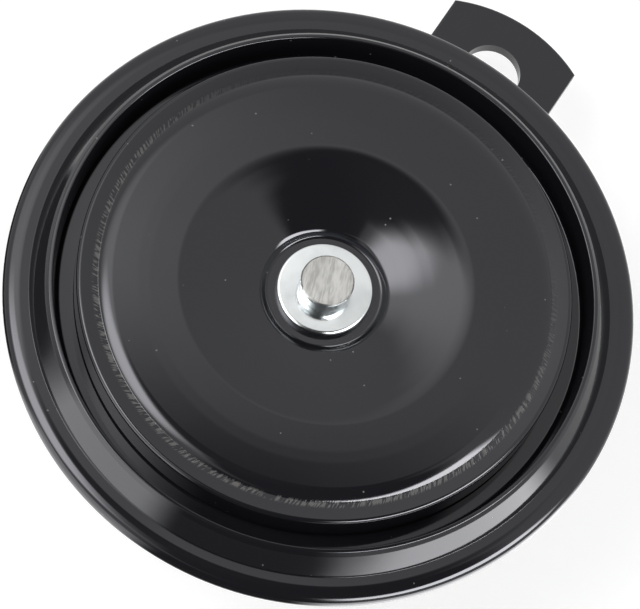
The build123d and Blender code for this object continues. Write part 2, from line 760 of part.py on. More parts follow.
# ---- leads: terminal to coil, coil to leaf, fixed blade round the bowl to the other terminal ----
centre = Vector(0, -hole_reach, 0)
up = Vector(0, 0, 1)
start_exit = Vector(-terminal_x, left_y).normalized()
finish_exit = Vector(1, 0).rotate(Axis.Z, lead_exit_angle)
coil_exit_radius = (bobbin_flange_radius + bowl_radius) / 2
exit_bend = 0.38 * (coil_exit_radius - winding_radius)
lead_level = shoulder_top + lead_height
lead_exit_level = bobbin_top - bobbin_wall - lead_depth
lead_ring_radius = housing_wall_radius - lead_wall_gap
with BuildPart() as coil_start_lead:
    with BuildLine() as start_route:
        FilletPolyline(
            centre + Vector(-terminal_x, left_y, terminal_head_top),
            centre + Vector(-terminal_x, left_y, lead_level),
            centre + start_exit * coil_exit_radius + up * lead_level,
            centre + start_exit * coil_exit_radius + up * lead_exit_level,
            centre + start_exit * winding_radius + up * lead_exit_level,
            radius=[lead_drop_bend, exit_bend, exit_bend],
        )
    with BuildSketch(Plane(origin=start_route.line @ 0, z_dir=start_route.line % 0)):
        Circle(lead_radius)
    sweep(path=start_route.line)
coil_start_lead.part.label = "coil_start_lead"
export_step(coil_start_lead.part, "parts/coil_start_lead.step")

with BuildPart() as coil_finish_lead:
    with BuildLine() as finish_route:
        FilletPolyline(
            centre + finish_exit * winding_radius + up * lead_exit_level,
            centre + finish_exit * coil_exit_radius + up * lead_exit_level,
            centre + finish_exit * coil_exit_radius + up * lead_level,
            centre + Vector(rivet_x, tag_margin - tag_half_length, lead_level),
            centre + Vector(rivet_x, tag_margin - tag_half_length, leaf_base),
            radius=[exit_bend, exit_bend, lead_drop_bend],
        )
    with BuildSketch(Plane(origin=finish_route.line @ 0, z_dir=finish_route.line % 0)):
        Circle(lead_radius)
    sweep(path=finish_route.line)
coil_finish_lead.part.label = "coil_finish_lead"
export_step(coil_finish_lead.part, "parts/coil_finish_lead.step")

with BuildPart() as breaker_lead:
    with BuildLine() as breaker_route:
        ring_start = Vector(lead_ring_radius, 0, lead_level)
        round_bend = 0.8 * lead_ring_radius
        entry_bend = 0.6 * lead_ring_radius
        FilletPolyline(
            centre + Vector(adjuster_x, ear_reach - tag_margin, fixed_blade_base),
            centre + Vector(adjuster_x, ear_reach - tag_margin, lead_level),
            centre + ring_start.rotate(Axis.Z, 50),
            centre + ring_start.rotate(Axis.Z, 80),
            centre + ring_start.rotate(Axis.Z, 110),
            centre + ring_start.rotate(Axis.Z, 140),
            centre + Vector(-terminal_x, right_y, lead_level),
            centre + Vector(-terminal_x, right_y, terminal_head_top),
            radius=[lead_bend, entry_bend, round_bend, round_bend, entry_bend, lead_drop_bend],
        )
    with BuildSketch(Plane(origin=breaker_route.line @ 0, z_dir=breaker_route.line % 0)):
        Circle(lead_radius)
    sweep(path=breaker_route.line)
breaker_lead.part.label = "breaker_lead"
export_step(breaker_lead.part, "parts/breaker_lead.step")
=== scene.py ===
import bmesh
import bpy
import json
from math import cos, pi, radians, sin, sqrt, tan
from mathutils import Matrix, Vector


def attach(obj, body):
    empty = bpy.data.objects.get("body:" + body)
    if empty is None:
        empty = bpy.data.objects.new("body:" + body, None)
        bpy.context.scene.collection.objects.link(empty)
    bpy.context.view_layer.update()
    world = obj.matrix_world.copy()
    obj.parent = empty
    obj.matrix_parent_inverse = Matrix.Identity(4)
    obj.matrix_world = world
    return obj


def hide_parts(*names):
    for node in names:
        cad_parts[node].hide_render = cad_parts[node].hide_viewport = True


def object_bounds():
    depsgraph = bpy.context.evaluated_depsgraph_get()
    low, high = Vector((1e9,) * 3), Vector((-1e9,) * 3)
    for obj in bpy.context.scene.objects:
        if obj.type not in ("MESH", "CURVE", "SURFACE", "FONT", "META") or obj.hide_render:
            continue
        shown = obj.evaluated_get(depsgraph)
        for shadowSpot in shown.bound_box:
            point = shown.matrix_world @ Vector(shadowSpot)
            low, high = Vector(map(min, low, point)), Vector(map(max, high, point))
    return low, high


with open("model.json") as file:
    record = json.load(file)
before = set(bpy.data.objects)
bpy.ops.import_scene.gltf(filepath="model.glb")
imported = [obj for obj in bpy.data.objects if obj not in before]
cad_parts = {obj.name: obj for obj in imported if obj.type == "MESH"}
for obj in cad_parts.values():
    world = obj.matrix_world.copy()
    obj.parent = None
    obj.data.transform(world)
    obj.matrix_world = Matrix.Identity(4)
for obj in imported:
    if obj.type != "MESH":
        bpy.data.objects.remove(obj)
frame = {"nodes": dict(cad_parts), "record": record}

print("frame loaded")
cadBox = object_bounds()
mm = 0.001
hornAxis = Vector((0, -61.3, 0)) * mm  # parallel to Z


# small helpers
def pickNothing():
    if bpy.context.object and bpy.context.object.mode != "OBJECT":
        bpy.ops.object.mode_set(mode="OBJECT")
    bpy.ops.object.select_all(action="DESELECT")


def applyModifier(kind, **settings):
    bpy.ops.object.modifier_add(type=kind)
    modifier = bpy.context.object.modifiers[-1]
    for key, value in settings.items():
        setattr(modifier, key, value)
    bpy.ops.object.modifier_apply(modifier=modifier.name)


def selectWhere(test, kind="EDGE"):
    # picks edges or faces of the piece in edit mode by a test on their vertices' places
    bpy.ops.mesh.select_all(action="DESELECT")
    bpy.ops.mesh.select_mode(type=kind)
    mesh = bmesh.from_edit_mesh(bpy.context.object.data)
    group = {"VERT": mesh.verts, "EDGE": mesh.edges, "FACE": mesh.faces}[kind]
    count = 0
    for element in group:
        places = [element.co] if kind == "VERT" else [vertex.co for vertex in element.verts]
        if all(test(place) for place in places):
            element.select_set(True)
            count += 1
    mesh.select_flush_mode()
    bmesh.update_edit_mesh(bpy.context.object.data)
    return count


def onRing(radius, height):
    def test(place):
        reach = (Vector((place.x, place.y, 0)) - hornAxis).length
        return abs(reach - radius * mm) < 2e-6 and abs(place.z - height * mm) < 2e-6
    return test


def startRing(name, radius, height, segments):
    pickNothing()
    place = (hornAxis.x, hornAxis.y, height * mm)
    bpy.ops.mesh.primitive_circle_add(vertices=segments, radius=radius * mm, location=place)
    piece = bpy.context.object
    piece.name = name
    bpy.ops.object.transform_apply(location=True, rotation=True, scale=True)
    bpy.ops.object.mode_set(mode="EDIT")
    bpy.ops.mesh.select_mode(type="EDGE")
    bpy.ops.mesh.select_all(action="SELECT")
    return piece


def pullRings(line):
    # from each ring of the profile to the next: out along the axis, then to its radius
    for (oldRadius, oldHeight), (newRadius, newHeight) in zip(line, line[1:]):
        move = {"value": (0, 0, (newHeight - oldHeight) * mm)}
        bpy.ops.mesh.extrude_edges_move(TRANSFORM_OT_translate=move)
        size = newRadius / oldRadius
        centre = (hornAxis.x, hornAxis.y, newHeight * mm)
        bpy.ops.transform.resize(value=(size, size, 1), center_override=centre)


def roundCorners(line, rounds):
    # a round of a given radius needs a bevel as wide as its tangent length
    for index, (radius, steps) in rounds.items():
        before, here, after = (Vector(line[index + step]) for step in (-1, 0, 1))
        turn = (here - before).angle(after - here)
        selectWhere(onRing(*line[index]))
        width = radius * tan(turn / 2) * mm
        bpy.ops.mesh.bevel(offset=width, segments=steps, profile=0.5, clamp_overlap=False)


def faceUp():
    # the highest face looks up, so the sheet's thickness goes behind it
    bpy.ops.mesh.select_all(action="SELECT")
    bpy.ops.mesh.remove_doubles(threshold=1e-7)
    mesh = bmesh.from_edit_mesh(bpy.context.object.data)
    top = max(mesh.faces, key=lambda face: face.calc_center_median().z)
    if top.normal.z < 0:
        bpy.ops.mesh.flip_normals()


def finishSmooth(angle=32):
    bpy.ops.object.mode_set(mode="OBJECT")
    bpy.ops.object.shade_smooth_by_angle(angle=radians(angle))


def turnedSheet(name, line, rounds, sheet, segments=192):
    piece = startRing(name, *line[0], segments)
    pullRings(line)
    roundCorners(line, rounds)
    faceUp()
    bpy.ops.object.mode_set(mode="OBJECT")
    applyModifier("SOLIDIFY", thickness=sheet * mm, offset=-1, use_even_offset=True)
    bpy.ops.object.mode_set(mode="EDIT")
    bpy.ops.mesh.select_all(action="SELECT")
    bpy.ops.mesh.remove_doubles(threshold=1e-6)
    finishSmooth()
    applyModifier("WEIGHTED_NORMAL", mode="FACE_AREA", weight=80, keep_sharp=True)
    return piece


def turnedSolid(name, line, rounds, closed, segments=128):
    # closed: a washer-like ring; otherwise both ends are capped
    piece = startRing(name, *line[0], segments)
    pullRings(line)
    roundCorners(line, rounds)
    ends = (line[0], line[-1])
    if closed:
        bpy.ops.mesh.select_all(action="DESELECT")
        rings = [onRing(*end) for end in ends]
        selectWhere(lambda place: any(ring(place) for ring in rings))
        bpy.ops.mesh.bridge_edge_loops()
    else:
        for end in ends:
            selectWhere(onRing(*end))
            bpy.ops.mesh.edge_face_add()
    bpy.ops.mesh.select_all(action="SELECT")
    bpy.ops.mesh.remove_doubles(threshold=1e-7)
    bpy.ops.mesh.normals_make_consistent(inside=False)
    finishSmooth()
    applyModifier("WEIGHTED_NORMAL", mode="FACE_AREA", weight=80, keep_sharp=True)
    return piece


def settle(piece, body, slot, *nodes):
    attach(piece, body)
    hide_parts(*nodes)


# levels, in mm
seatTop = 20.2
shoulderTop = 9.0
floorTop = -1.75

# front ring
ring = {
    "sheet": 0.8,
    "line": [
        (40.0, 22.0), (43.65, 22.0), (44.65, 27.55), (45.3, 27.45), (45.85, 26.85), (48.25, 23.2),
        (50.2, 23.25), (51.7, 22.85), (52.5, 22.15), (52.5, 20.65), (50.0, 20.65),
    ],
    "rounds": {
        1: (0.6, 5), 2: (0.28, 6), 3: (0.3, 4), 4: (1.6, 6), 5: (0.15, 3),
        6: (4.0, 6), 7: (1.8, 6), 8: (1.3, 8), 9: (0.88, 8),
    },
}
frontRing = turnedSheet("frontRing", ring["line"], ring["rounds"], ring["sheet"])
settle(frontRing, "horn_body", "black_paint", "front_ring")
print("front ring")

# tone disc
disc = {
    "sheet": 1.0,
    "line": [
        (4.05, 25.3), (9.6, 25.3), (10.6, 26.2), (14.9, 27.62), (19.2, 28.77), (23.4, 29.6), (30.0, 29.54),
        (36.2, 29.33), (37.35, 28.6), (40.9, 28.85), (40.9, 22.9),
    ],
    "rounds": {
        1: (0.8, 5), 2: (2.0, 6), 3: (50.0, 6), 4: (50.0, 6), 5: (12.0, 10), 6: (100.0, 4), 7: (4.6, 10),
        8: (0.3, 4), 9: (0.7, 6),
    },
}
toneDisc = turnedSheet("toneDisc", disc["line"], disc["rounds"], disc["sheet"])
settle(toneDisc, "vibrator", "black_paint", "tone_disc")
print("tone disc")

# housing
bowl = {
    "sheet": 1.0,
    "line": [
        (4.15, floorTop), (25.4, floorTop), (27.3, shoulderTop), (38.8, shoulderTop), (39.4, seatTop),
        (47.75, seatTop), (48.55, 22.45), (51.2, 22.45),
    ],
    "rounds": {1: (2.6, 7), 2: (1.4, 6), 3: (1.8, 6), 4: (1.4, 6), 5: (0.4, 3), 6: (1.2, 4)},
}
hornHousing = turnedSheet("hornHousing", bowl["line"], bowl["rounds"], bowl["sheet"])
settle(hornHousing, "horn_body", "black_paint", "housing")
print("housing")

# front washer
washer = {
    "line": [(4.05, 25.3), (8.0, 25.3), (8.0, 26.9), (4.05, 26.9)],
    "rounds": {2: (0.5, 5)},
}
frontWasher = turnedSolid("frontWasher", washer["line"], washer["rounds"], True)
settle(frontWasher, "vibrator", "zinc_plate", "front_washer")

# armature with its stud, upset over the washer
stud = {
    "line": [
        (13.5, 13.7), (14.0, 14.2), (14.0, 18.5), (24.0, 18.5), (24.0, 19.7), (9.0, 19.7), (9.0, 21.2),
        (4.0, 21.2), (4.0, 26.95), (4.18, 27.15), (4.14, 28.9), (4.28, 29.75), (4.45, 30.0), (4.42, 30.3),
        (4.2, 30.6),
    ],
    "rounds": {10: (1.2, 3), 12: (0.15, 3), 13: (0.2, 3)},
    "burr": 0.035,  # how far the cut rim is pushed about
    "burrFrom": 29.95,
    "top": 30.6,
}
armatureStud = turnedSolid("armatureStud", stud["line"], stud["rounds"], False)
bpy.ops.object.mode_set(mode="EDIT")
selectWhere(lambda place: place.z > stud["burrFrom"] * mm, "VERT")
bpy.ops.transform.vertex_random(offset=stud["burr"] * mm, uniform=1.0, seed=4)
bpy.ops.object.mode_set(mode="OBJECT")
for vertex in armatureStud.data.vertices:
    vertex.co.z = min(vertex.co.z, stud["top"] * mm)
settle(armatureStud, "vibrator", "zinc_plate", "armature")
print("washer and stud")


# material helpers
def feed(tree, node, inputs):
    # i0, i1 and so on are sockets by number, other words are sockets by name
    for key, value in inputs.items():
        numbered = key[0] == "i" and key[1:].isdigit()
        socket = node.inputs[int(key[1:]) if numbered else key.replace("_", " ")]
        if isinstance(value, bpy.types.NodeSocket):
            tree.links.new(value, socket)
        else:
            socket.default_value = value


def addNode(tree, kind, settings=None, **inputs):
    node = tree.nodes.new(kind)
    for key, value in (settings or {}).items():
        setattr(node, key, value)
    feed(tree, node, inputs)
    return node


def maths(tree, operation, first, second=0.0, clamp=False):
    settings = {"operation": operation, "use_clamp": clamp}
    return addNode(tree, "ShaderNodeMath", settings, i0=first, i1=second, i2=0.0).outputs[0]


def times(tree, first, second):
    return maths(tree, "MULTIPLY", first, second)


def plus(tree, first, second, clamp=False):
    return maths(tree, "ADD", first, second, clamp)


def minus(tree, first, second, clamp=False):
    return maths(tree, "SUBTRACT", first, second, clamp)


def larger(tree, first, second):
    return maths(tree, "MAXIMUM", first, second)


def ramp(tree, value, low, high, outLow=0.0, outHigh=1.0):
    node = addNode(tree, "ShaderNodeMapRange", {"interpolation_type": "SMOOTHSTEP"},
                   Value=value, From_Min=low, From_Max=high, To_Min=outLow, To_Max=outHigh)
    return node.outputs["Result"]


def blendColour(tree, share, first, second):
    node = addNode(tree, "ShaderNodeMix", {"data_type": "RGBA"}, i0=share, i6=first, i7=second)
    return node.outputs[2]


def newGroup(name, inputs, outputs):
    tree = bpy.data.node_groups.new(name, "ShaderNodeTree")
    for label, kind, value in inputs:
        socket = tree.interface.new_socket(label, in_out="INPUT", socket_type=kind)
        if value is not None:
            socket.default_value = value
    for label in outputs:
        tree.interface.new_socket(label, in_out="OUTPUT", socket_type="NodeSocketFloat")
    return tree, tree.nodes.new("NodeGroupInput").outputs, tree.nodes.new("NodeGroupOutput").inputs


def useGroup(tree, group, **inputs):
    node = tree.nodes.new("ShaderNodeGroup")
    node.node_tree = group
    feed(tree, node, inputs)
    return node.outputs


def newMaterial(name, **constants):
    material = bpy.data.materials.new(name)
    material.use_nodes = True
    tree = material.node_tree
    tree.nodes.clear()
    shader = tree.nodes.new("ShaderNodeBsdfPrincipled")
    out = tree.nodes.new("ShaderNodeOutputMaterial")
    tree.links.new(shader.outputs[0], out.inputs[0])
    for key, value in constants.items():
        shader.inputs[key.replace("_", " ")].default_value = value
    place = tree.nodes.new("ShaderNodeTexCoord").outputs["Object"]
    return material, tree, shader, place


def bumpInto(tree, shader, height, strength, distance):
    bump = addNode(tree, "ShaderNodeBump", None, Height=height, Strength=strength, Distance=distance)
    tree.links.new(bump.outputs[0], shader.inputs["Normal"])


# shared effects
vectorIn = ("Vector", "NodeSocketVector", None)


def turnedStretched(tree, vector, turn, stretch):
    turned = addNode(tree, "ShaderNodeVectorRotate", {"rotation_type": "Z_AXIS"}, Vector=vector, Angle=turn)
    settings = {"operation": "MULTIPLY"}
    return addNode(tree, "ShaderNodeVectorMath", settings, i0=turned.outputs[0], i1=stretch).outputs[0]


def noise(tree, vector, scale, detail):
    return addNode(tree, "ShaderNodeTexNoise", None, Vector=vector, Scale=scale, Detail=detail).outputs[0]


def makeSpecks():
    # dust grains: small round spots, few of the cells hold one
    inputs = [vectorIn, ("Scale", "NodeSocketFloat", 400.0), ("Size", "NodeSocketFloat", 0.1),
              ("Share", "NodeSocketFloat", 0.1)]
    tree, given, result = newGroup("dustSpecks", inputs, ["Mask"])
    cells = addNode(tree, "ShaderNodeTexVoronoi", None, Vector=given["Vector"], Scale=given["Scale"])
    near = minus(tree, 1.0, maths(tree, "DIVIDE", cells.outputs["Distance"], given["Size"]), True)
    pick = addNode(tree, "ShaderNodeSeparateColor", None, Color=cells.outputs["Color"]).outputs[0]
    chosen = maths(tree, "LESS_THAN", pick, given["Share"])
    soft = ramp(tree, near, 0.0, 0.5)
    tree.links.new(times(tree, soft, chosen), result["Mask"])
    return tree


def makeScratches():
    # short straight scratches that lie one way; two of these with other turns cross each other
    inputs = [vectorIn, ("Scale", "NodeSocketFloat", 300.0), ("Turn", "NodeSocketFloat", 0.6),
              ("Width", "NodeSocketFloat", 0.05), ("Share", "NodeSocketFloat", 0.1)]
    tree, given, result = newGroup("fineScratches", inputs, ["Mask"])
    drawn = turnedStretched(tree, given["Vector"], given["Turn"], (1.0, 0.09, 0.5))
    cells = addNode(tree, "ShaderNodeTexVoronoi", None, Vector=drawn, Scale=given["Scale"])
    near = minus(tree, 1.0, maths(tree, "DIVIDE", cells.outputs["Distance"], given["Width"]), True)
    pick = addNode(tree, "ShaderNodeSeparateColor", None, Color=cells.outputs["Color"]).outputs[1]
    chosen = maths(tree, "LESS_THAN", pick, given["Share"])
    tree.links.new(times(tree, ramp(tree, near, 0.0, 0.6), chosen), result["Mask"])
    return tree


def makeMottle():
    # slow uneven patches with a fine grain over them
    inputs = [vectorIn, ("Scale", "NodeSocketFloat", 100.0), ("Grain Scale", "NodeSocketFloat", 2500.0)]
    tree, given, result = newGroup("mottle", inputs, ["Patches", "Grain"])
    slow = noise(tree, given["Vector"], given["Scale"], 3.0)
    fine = noise(tree, given["Vector"], given["Grain Scale"], 2.0)
    tree.links.new(slow, result["Patches"])
    tree.links.new(fine, result["Grain"])
    return tree


def makeRadial():
    # distance and angle about the horn's axis
    tree, given, result = newGroup("aboutTheAxis", [vectorIn], ["Radius", "Angle"])
    settings = {"operation": "SUBTRACT"}
    off = addNode(tree, "ShaderNodeVectorMath", settings, i0=given["Vector"], i1=tuple(hornAxis))
    parts = addNode(tree, "ShaderNodeSeparateXYZ", None, Vector=off.outputs[0]).outputs
    squares = plus(tree, times(tree, parts[0], parts[0]), times(tree, parts[1], parts[1]))
    tree.links.new(maths(tree, "SQRT", squares), result["Radius"])
    tree.links.new(maths(tree, "ARCTAN2", parts[0], times(tree, parts[1], -1.0)), result["Angle"])
    return tree


dustSpecks = makeSpecks()
fineScratches = makeScratches()
mottle = makeMottle()
aboutTheAxis = makeRadial()

# gloss black enamel
paint = {
    "colour": (0.0085, 0.0085, 0.0105, 1),
    # the colour of dust and scratches, also the colour of the marks' painted highlight
    "dustAndHighlight": (0.30, 0.29, 0.27, 1),
    "sheen": (0.95, 0.95, 1.0, 1),  # the gloss is slightly blue
    "roughness": (0.05, 0.09),
    "dusted": 0.5,  # how much rougher dust and scratches are
    "patchScale": 90.0,
    "grainScale": 700.0,
    "peel": 0.25,
    "peelDepth": 0.0000035,
    "speckScale": 420.0,
    "speckSize": 0.085,
    "speckTone": 0.4,
    "speckHeight": 4.0,
    "scratches": [
        {"Scale": 330.0, "Turn": 0.7, "Width": 0.035, "Share": 0.14},
        {"Scale": 240.0, "Turn": 2.3, "Width": 0.03, "Share": 0.12},
    ],
    "scratchTone": 0.3,
    "scratchDepth": 2.0,
}
tickMarks = {
    "count": 620,
    "lean": 1500.0,
    "spread": 600.0,
    "radius": 0.0378,
    "width": 0.0007,
    "wander": 0.0003,
    "depth": 22.0,
    # how much the marks are lightened: a painted highlight
    "tone": 0.26,
    "fade": (2.3, 1.4),  # the marks and their painted highlight fade towards the far side, where they catch less light
}


# press marks round the disc's step as a mask: they cut the bump, and they lighten the colour as a painted
# highlight
def tickCut(tree, place, ticks):
    around = useGroup(tree, aboutTheAxis, Vector=place)
    turns = times(tree, around["Angle"], ticks["count"] / (2 * pi))
    lean = times(tree, around["Radius"], ticks["lean"])
    outwards = times(tree, around["Radius"], ticks["spread"])
    grid = addNode(tree, "ShaderNodeCombineXYZ", None, X=plus(tree, turns, lean), Y=outwards).outputs[0]
    tooth = noise(tree, grid, 1.0, 1.0)
    offset = times(tree, minus(tree, noise(tree, place, 60.0, 1.0), 0.5), ticks["wander"])
    away = maths(tree, "ABSOLUTE", minus(tree, plus(tree, around["Radius"], offset), ticks["radius"]))
    window = ramp(tree, away, ticks["width"], ticks["width"] * 0.35)
    front = ramp(tree, maths(tree, "ABSOLUTE", around["Angle"]), *ticks["fade"], 0.05, 1.0)
    return times(tree, times(tree, ramp(tree, tooth, 0.46, 0.58), window), front)


def blackPaint(name, dustShare=0.22, ticks=None):
    material, tree, shader, place = newMaterial(name, IOR=1.5)
    shader.inputs["Specular Tint"].default_value = paint["sheen"]
    uneven = useGroup(tree, mottle, Vector=place, Scale=paint["patchScale"], Grain_Scale=paint["grainScale"])
    grains = {"Scale": paint["speckScale"], "Size": paint["speckSize"], "Share": dustShare}
    specks = useGroup(tree, dustSpecks, Vector=place, **grains)["Mask"]
    scratches = [useGroup(tree, fineScratches, Vector=place, **lines)["Mask"] for lines in paint["scratches"]]
    marks = larger(tree, *scratches)
    light = larger(tree, times(tree, specks, paint["speckTone"]), times(tree, marks, paint["scratchTone"]))
    height = plus(tree, uneven["Grain"], times(tree, specks, paint["speckHeight"]))
    height = minus(tree, height, times(tree, marks, paint["scratchDepth"]))
    if ticks:
        cut = tickCut(tree, place, ticks)
        height = minus(tree, height, times(tree, cut, ticks["depth"]))
        # the marks' lighter colour is a painted highlight
        light = larger(tree, light, times(tree, cut, ticks["tone"]))
    tree.links.new(blendColour(tree, light, paint["colour"], paint["dustAndHighlight"]), shader.inputs["Base Color"])
    rough = ramp(tree, uneven["Patches"], 0.3, 0.7, *paint["roughness"])
    rough = plus(tree, rough, times(tree, light, paint["dusted"]), True)
    tree.links.new(rough, shader.inputs["Roughness"])
    bumpInto(tree, shader, height, paint["peel"], paint["peelDepth"])
    return material


ringPaint = blackPaint("ringPaint")
discPaint = blackPaint("discPaint", 0.25, tickMarks)
bodyPaint = blackPaint("bodyPaint", 0.1)

# plated metals
plating = {
    "patchScale": 160.0,
    "grainScale": 2600.0,
    "scratches": {"Scale": 420.0, "Turn": 0.4, "Width": 0.05, "Share": 0.15},
    "specks": {"Scale": 700.0, "Size": 0.12, "Share": 0.08},
    "speckTone": 0.8,
    "scratchRougher": 0.1,
    "latheLines": 9000.0,
    "relief": 0.3,
    "depth": 0.000004,
}


def platedMetal(name, colour, darker, roughness, lathed=False):
    material, tree, shader, place = newMaterial(name, Metallic=1.0)
    scales = {"Scale": plating["patchScale"], "Grain_Scale": plating["grainScale"]}
    uneven = useGroup(tree, mottle, Vector=place, **scales)
    scratches = useGroup(tree, fineScratches, Vector=place, **plating["scratches"])["Mask"]
    specks = useGroup(tree, dustSpecks, Vector=place, **plating["specks"])["Mask"]
    share = ramp(tree, uneven["Patches"], 0.35, 0.75)
    share = larger(tree, share, times(tree, specks, plating["speckTone"]))
    tree.links.new(blendColour(tree, share, colour, darker), shader.inputs["Base Color"])
    rough = ramp(tree, uneven["Patches"], 0.3, 0.7, *roughness)
    rough = plus(tree, rough, times(tree, scratches, plating["scratchRougher"]))
    tree.links.new(rough, shader.inputs["Roughness"])
    height = minus(tree, uneven["Grain"], scratches)
    if lathed:
        around = useGroup(tree, aboutTheAxis, Vector=place)
        outwards = times(tree, around["Radius"], plating["latheLines"])
        line = addNode(tree, "ShaderNodeCombineXYZ", None, X=outwards).outputs[0]
        height = plus(tree, height, noise(tree, line, 1.0, 2.0))
    bumpInto(tree, shader, height, plating["relief"], plating["depth"])
    return material


zincBright = platedMetal("zincBright", (0.68, 0.70, 0.70, 1), (0.58, 0.60, 0.60, 1), (0.14, 0.2), lathed=True)
zincPlain = platedMetal("zincPlain", (0.70, 0.70, 0.69, 1), (0.52, 0.52, 0.52, 1), (0.25, 0.4))
springSteel = platedMetal("springSteel", (0.45, 0.46, 0.48, 1), (0.33, 0.34, 0.36, 1), (0.25, 0.4))
rivetSteel = platedMetal("rivetSteel", (0.60, 0.60, 0.61, 1), (0.45, 0.45, 0.46, 1), (0.3, 0.45))
contactBrass = platedMetal("contactBrass", (0.78, 0.58, 0.30, 1), (0.60, 0.42, 0.20, 1), (0.25, 0.4))
contactMetal = platedMetal("contactMetal", (0.80, 0.78, 0.74, 1), (0.62, 0.60, 0.57, 1), (0.3, 0.5))
enamelledCopper = platedMetal("enamelledCopper", (0.62, 0.26, 0.12, 1), (0.45, 0.16, 0.07, 1), (0.2, 0.35))

studFinish = {
    "sawnFrom": (0.03025, 0.03045),  # metres up the axis
    "sawTurn": -0.35,
    "sawStretch": (1.0, 0.16, 1.0),
    "patchScale": 350.0,
    "grainScale": 2500.0,
    "grainShare": 0.3,
    "fine": 3800.0,
    "broad": 1100.0,
    "sawn": ((0.34, 0.335, 0.32, 1), (0.50, 0.495, 0.48, 1)),
    "plated": ((0.62, 0.66, 0.68, 1), (0.45, 0.48, 0.50, 1)),
    "sawnRougher": 0.22,
    "roughness": (0.16, 0.28),
    "relief": 0.5,
    "depth": 0.00003,
}


def studMetal():
    # plated sides, with the sawn top rougher and streaked
    material, tree, shader, place = newMaterial("studMetal", Metallic=1.0)
    scales = {"Scale": studFinish["patchScale"], "Grain_Scale": studFinish["grainScale"]}
    uneven = useGroup(tree, mottle, Vector=place, **scales)
    height = addNode(tree, "ShaderNodeSeparateXYZ", None, Vector=place).outputs[2]
    top = ramp(tree, height, *studFinish["sawnFrom"])
    drawn = turnedStretched(tree, place, studFinish["sawTurn"], studFinish["sawStretch"])
    saw = noise(tree, drawn, studFinish["fine"], 3.0)
    broad = noise(tree, drawn, studFinish["broad"], 2.0)
    share = ramp(tree, plus(tree, times(tree, saw, 0.5), times(tree, broad, 0.5)), 0.38, 0.62)
    topColour = blendColour(tree, share, *studFinish["sawn"])
    sideColour = blendColour(tree, uneven["Patches"], *studFinish["plated"])
    tree.links.new(blendColour(tree, top, sideColour, topColour), shader.inputs["Base Color"])
    rough = ramp(tree, uneven["Patches"], 0.3, 0.7, *studFinish["roughness"])
    rough = plus(tree, times(tree, top, studFinish["sawnRougher"]), rough)
    tree.links.new(rough, shader.inputs["Roughness"])
    deep = times(tree, plus(tree, saw, broad), top)
    deep = plus(tree, deep, times(tree, uneven["Grain"], studFinish["grainShare"]))
    bumpInto(tree, shader, deep, studFinish["relief"], studFinish["depth"])
    return material


studTop = studMetal()

# paper, nylon and board
stock = {
    "patchScale": 220.0,
    "patchShare": 0.6,
    "grainShare": 0.4,
    "relief": 0.4,
}


def dullStock(name, colour, darker, roughness, grainScale, depth):
    material, tree, shader, place = newMaterial(name)
    uneven = useGroup(tree, mottle, Vector=place, Scale=stock["patchScale"], Grain_Scale=grainScale)
    patches = times(tree, uneven["Patches"], stock["patchShare"])
    share = ramp(tree, plus(tree, patches, times(tree, uneven["Grain"], stock["grainShare"])), 0.35, 0.65)
    tree.links.new(blendColour(tree, share, colour, darker), shader.inputs["Base Color"])
    tree.links.new(ramp(tree, uneven["Patches"], 0.3, 0.7, *roughness), shader.inputs["Roughness"])
    bumpInto(tree, shader, uneven["Grain"], stock["relief"], depth)
    return material


gasketPaper = dullStock(
    "gasketPaper", (0.33, 0.25, 0.15, 1), (0.22, 0.16, 0.09, 1), (0.75, 0.9), 3000.0, 0.00002)
bobbinNylon = dullStock(
    "bobbinNylon", (0.62, 0.60, 0.54, 1), (0.54, 0.52, 0.46, 1), (0.35, 0.5), 1500.0, 0.000008)
phenolicBoard = dullStock(
    "phenolicBoard", (0.20, 0.085, 0.035, 1), (0.13, 0.05, 0.02, 1), (0.35, 0.55), 2200.0, 0.00001)
print("materials")

finishes = {
    "black_paint": bodyPaint, "zinc_plate": zincPlain, "spring_steel": springSteel, "rivet_steel": rivetSteel,
    "gasket_paper": gasketPaper, "bobbin_nylon": bobbinNylon, "phenolic_board": phenolicBoard,
    "enamelled_copper": enamelledCopper, "contact_brass": contactBrass, "contact_metal": contactMetal,
}
slotOfNode = {entry["node"]: entry["material_slot"] for entry in frame["record"]["subparts"]}
for name, node in frame["nodes"].items():
    node.data.materials.clear()
    node.data.materials.append(finishes[slotOfNode[name]])


def dress(piece, material):
    piece.data.materials.clear()
    piece.data.materials.append(material)


dress(frontRing, ringPaint)
dress(toneDisc, discPaint)
dress(hornHousing, bodyPaint)
dress(frontWasher, zincBright)
dress(armatureStud, studTop)

# camera
view = {
    "tilt": 21.75,      # degrees between the horn's axis and the line of sight
    "upTurn": 70.14,    # where the axis points in the view
    "yAside": 0.2368,   # how far +Y is turned off the line straight up the tilt
    "reach": 12.0,      # in rim radii
    "shiftRight": -0.00503,  # the rest in rim radii too
    "shiftUp": -0.02168,
    "rim": 52.5,
    "aim": (0, -61.3, 22.5),
    "lens": 214.9,
    "sensor": 36,
    "nearest": 0.01,
}
tilt, upTurn = radians(view["tilt"]), radians(view["upTurn"])
axisSeen = Vector((sin(tilt) * cos(upTurn), sin(tilt) * sin(upTurn), cos(tilt)))
farSeen = Vector((cos(tilt) * cos(upTurn), cos(tilt) * sin(upTurn), -sin(tilt)))
sideSeen = farSeen.cross(axisSeen)
yAside = view["yAside"]
yAlong = sqrt(1 - yAside * yAside)
ySeen = yAside * sideSeen + yAlong * farSeen
xSeen = yAlong * sideSeen - yAside * farSeen
right = Vector((xSeen.x, ySeen.x, axisSeen.x))
up = Vector((xSeen.y, ySeen.y, axisSeen.y))
back = Vector((xSeen.z, ySeen.z, axisSeen.z))
offset = right * view["shiftRight"] + up * view["shiftUp"] + back * view["reach"]
